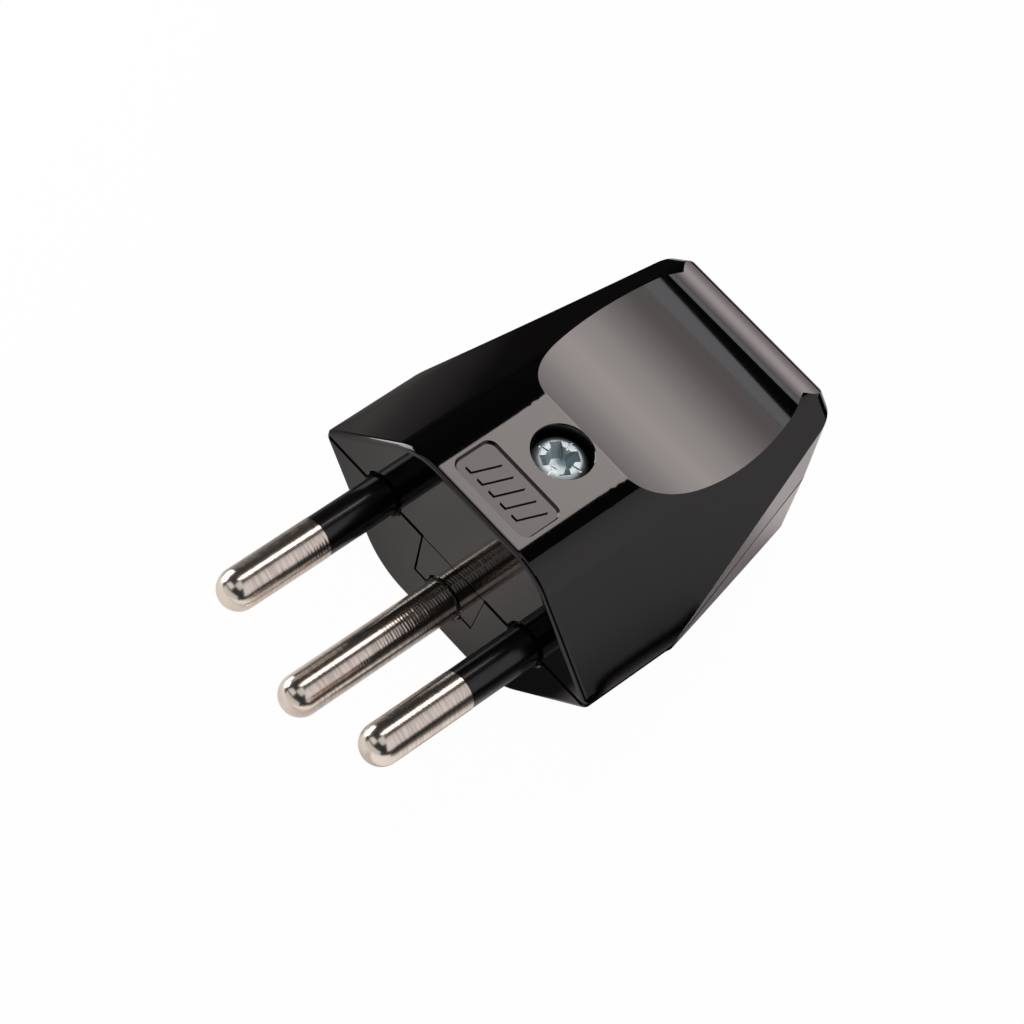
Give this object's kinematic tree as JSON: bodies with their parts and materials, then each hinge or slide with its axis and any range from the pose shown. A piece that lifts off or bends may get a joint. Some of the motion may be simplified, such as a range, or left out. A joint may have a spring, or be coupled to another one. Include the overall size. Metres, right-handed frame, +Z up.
{
  "type": "mains plug",
  "caption": "Rewirable three-pin mains plug: glossy two-part casing with finger scoops, round pins with part sleeves, terminals, cord clamp and casing screw.",
  "frame": {"origin": "middle of the flat engagement face that the pins stand out of, midway between the line and neutral pins", "axes": "-Y along the pins towards the socket, +Y towards the cord inlet, +Z up through the casing screw's side, +X to the neutral pin"},
  "size_m": [0.035, 0.0545, 0.0194],
  "materials": {
    "shell_plastic": "moulded, polished black",
    "sleeve_plastic": "moulded, satin black",
    "clamp_plastic": "moulded, matt black",
    "nickel_brass": "turned and nickel plated",
    "zinc_steel": "bright zinc plated",
    "bare_brass": "turned, bare"
  },
  "bodies": {
    "root": {"upper_shell": "shell_plastic", "lower_shell": "shell_plastic", "casing_screw": "zinc_steel", "threaded_insert": "bare_brass", "line_pin": "nickel_brass", "neutral_pin": "nickel_brass", "earth_pin": "nickel_brass", "line_sleeve": "sleeve_plastic", "neutral_sleeve": "sleeve_plastic", "terminal_screws": "zinc_steel", "cord_clamp": "clamp_plastic", "clamp_screws": "zinc_steel"}
  },
  "joints": []
}
